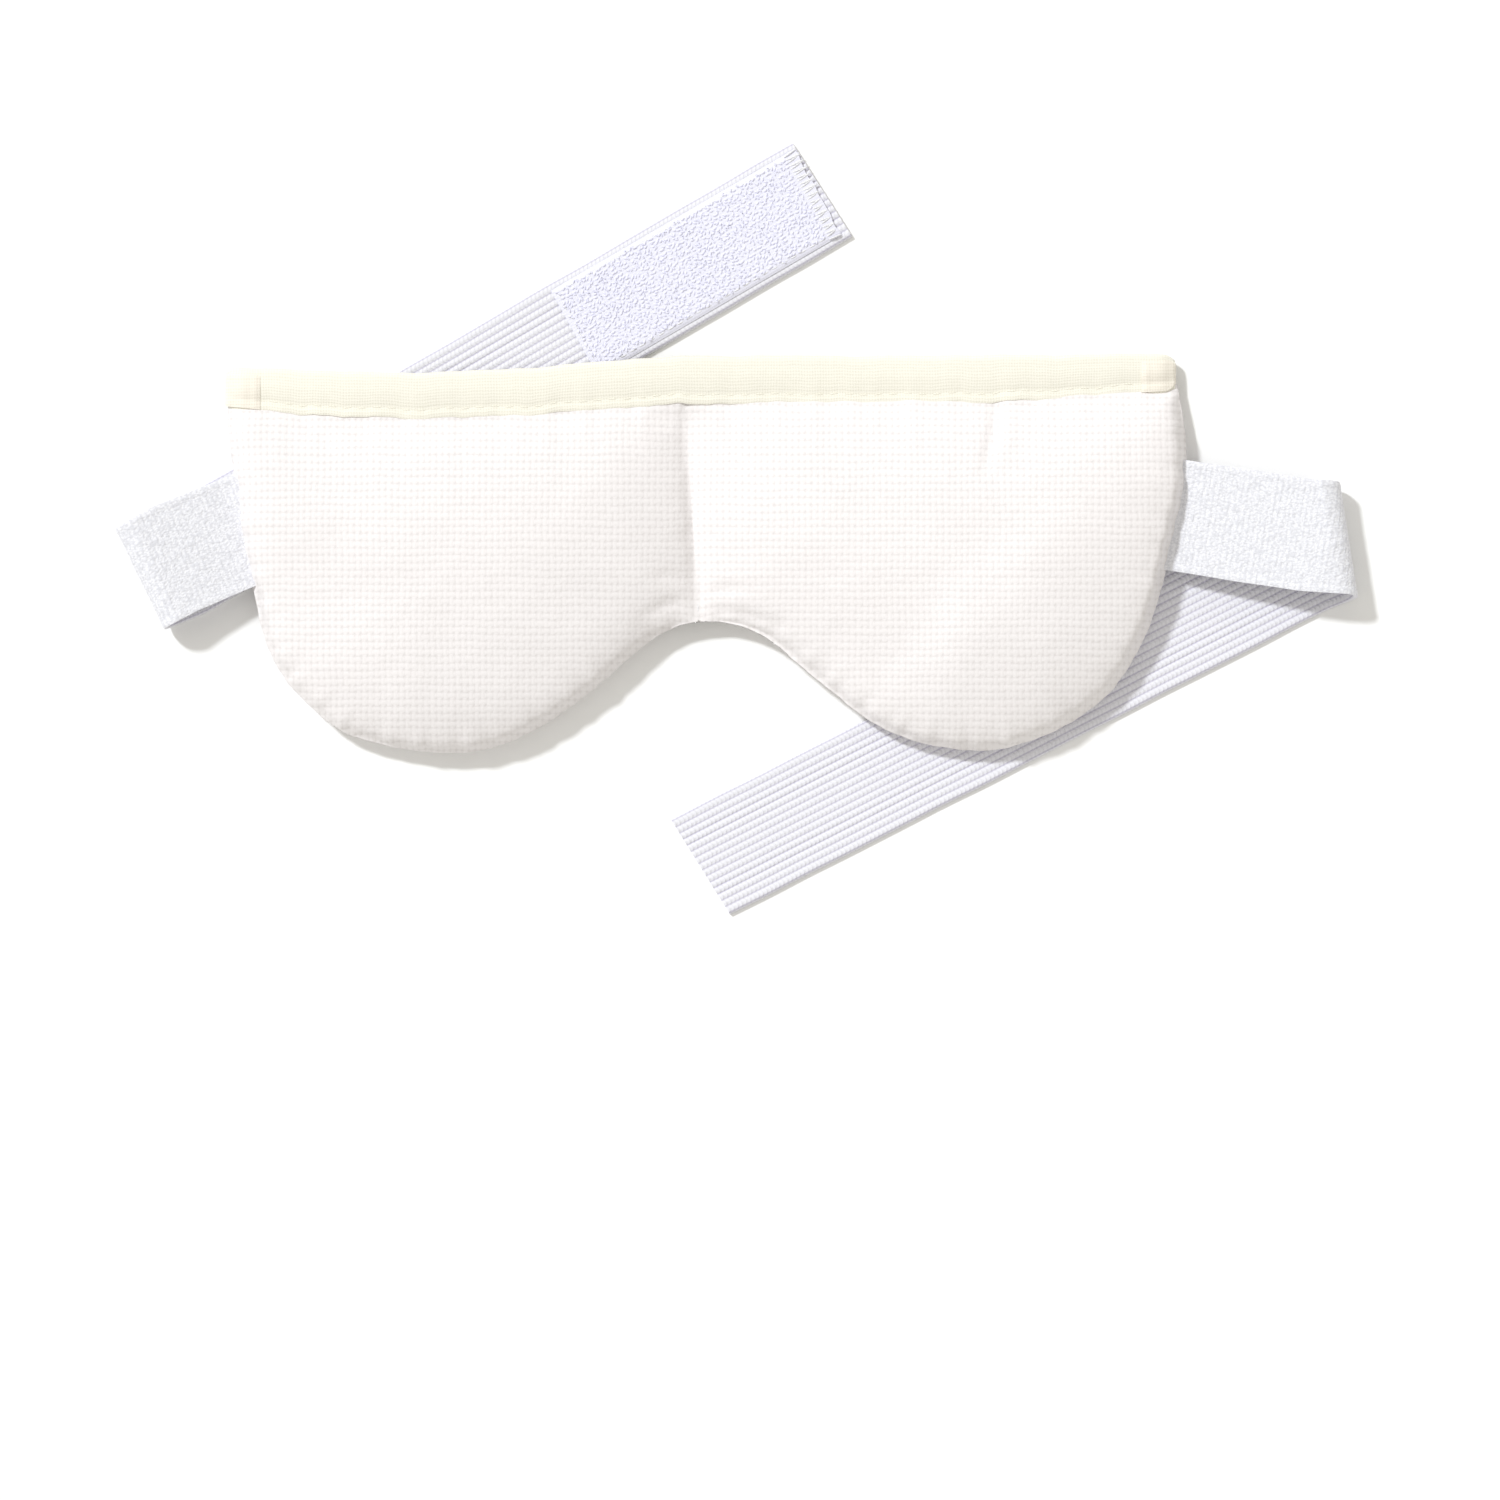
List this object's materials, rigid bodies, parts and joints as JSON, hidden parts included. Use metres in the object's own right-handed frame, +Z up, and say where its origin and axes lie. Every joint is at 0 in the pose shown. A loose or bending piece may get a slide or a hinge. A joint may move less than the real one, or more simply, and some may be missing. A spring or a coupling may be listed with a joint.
{
  "type": "eye pillow",
  "caption": "Soft eye pillow: bead-filled lobes either side of a nose notch, a bound top edge and folding elastic straps with a hook patch.",
  "frame": {"origin": "middle of the object's footprint, on the surface that it lies on", "axes": "+X from the left strap's fold to the right strap's fold, along the bound edge; +Y from the nose notch to the bound top edge; +Z up out of the front panels"},
  "size_m": [0.2812, 0.176, 0.0159],
  "materials": {
    "cover_cloth": "open plain weave, off-white, matte",
    "liner_cloth": "fine plain cotton, matte",
    "bead_fill": "loose flax seed, slightly glossy hulls",
    "binding_tape": "ivory folded tape, soft and smooth",
    "elastic": "knitted elastic, ribbed on one face and looped pile on the other",
    "hook_tape": "nylon hook tape, slightly glossy",
    "thread": "spun sewing thread, satin"
  },
  "bodies": {
    "left_lobe": {"left_front_cover": "cover_cloth", "left_back_cover": "cover_cloth", "left_front_pouch": "liner_cloth", "left_back_pouch": "liner_cloth", "left_bead_fill": "bead_fill", "left_top_binding": "binding_tape", "left_binding_end": "binding_tape", "left_binding_needle_thread": "thread", "left_binding_bobbin_thread": "thread", "nose_seam_thread": "thread", "left_edge_thread": "thread", "left_strap_tail": "elastic"},
    "right_lobe": {"right_front_cover": "cover_cloth", "right_back_cover": "cover_cloth", "right_front_pouch": "liner_cloth", "right_back_pouch": "liner_cloth", "right_bead_fill": "bead_fill", "right_top_binding": "binding_tape", "right_binding_end": "binding_tape", "right_binding_needle_thread": "thread", "right_binding_bobbin_thread": "thread", "right_edge_thread": "thread", "right_strap_tail": "elastic"},
    "left_strap_base": {"left_strap_outer": "elastic", "left_strap_fold": "elastic"},
    "left_strap_end": {"left_strap_run": "elastic", "hook_patch": "hook_tape", "hook_patch_thread": "thread", "strap_end_overlock": "thread"},
    "right_strap_base": {"right_strap_outer": "elastic", "right_strap_fold": "elastic"},
    "right_strap_end": {"right_strap_run": "elastic"}
  },
  "joints": [
    {"name": "nose_fold", "type": "hinge", "parent": "left_lobe", "child": "right_lobe", "pos_m": [-0.00855, -0.02022, 0.0052], "axis": [0.0648, -0.9979, 0], "range_deg": [-90, 90]},
    {"name": "left_strap_swing", "type": "hinge", "parent": "left_lobe", "child": "left_strap_base", "pos_m": [-0.11361, -0.00138, 0.0052], "axis": [-0.2162, 0.9764, 0], "range_deg": [0, 60]},
    {"name": "left_strap_unfold", "type": "hinge", "parent": "left_strap_base", "child": "left_strap_end", "pos_m": [-0.13129, -0.00888, 0.0046], "axis": [-0.4384, 0.8988, 0], "range_deg": [0, 179], "deforming": ["left_strap_fold"]},
    {"name": "right_strap_swing", "type": "hinge", "parent": "right_lobe", "child": "right_strap_base", "pos_m": [0.10173, 0.00262, 0.0052], "axis": [-0.2141, -0.9768, 0], "range_deg": [0, 60]},
    {"name": "right_strap_unfold", "type": "hinge", "parent": "right_strap_base", "child": "right_strap_end", "pos_m": [0.13373, -0.00245, 0.0048], "axis": [0.1564, -0.9877, 0], "range_deg": [0, 179], "deforming": ["right_strap_fold"]}
  ]
}
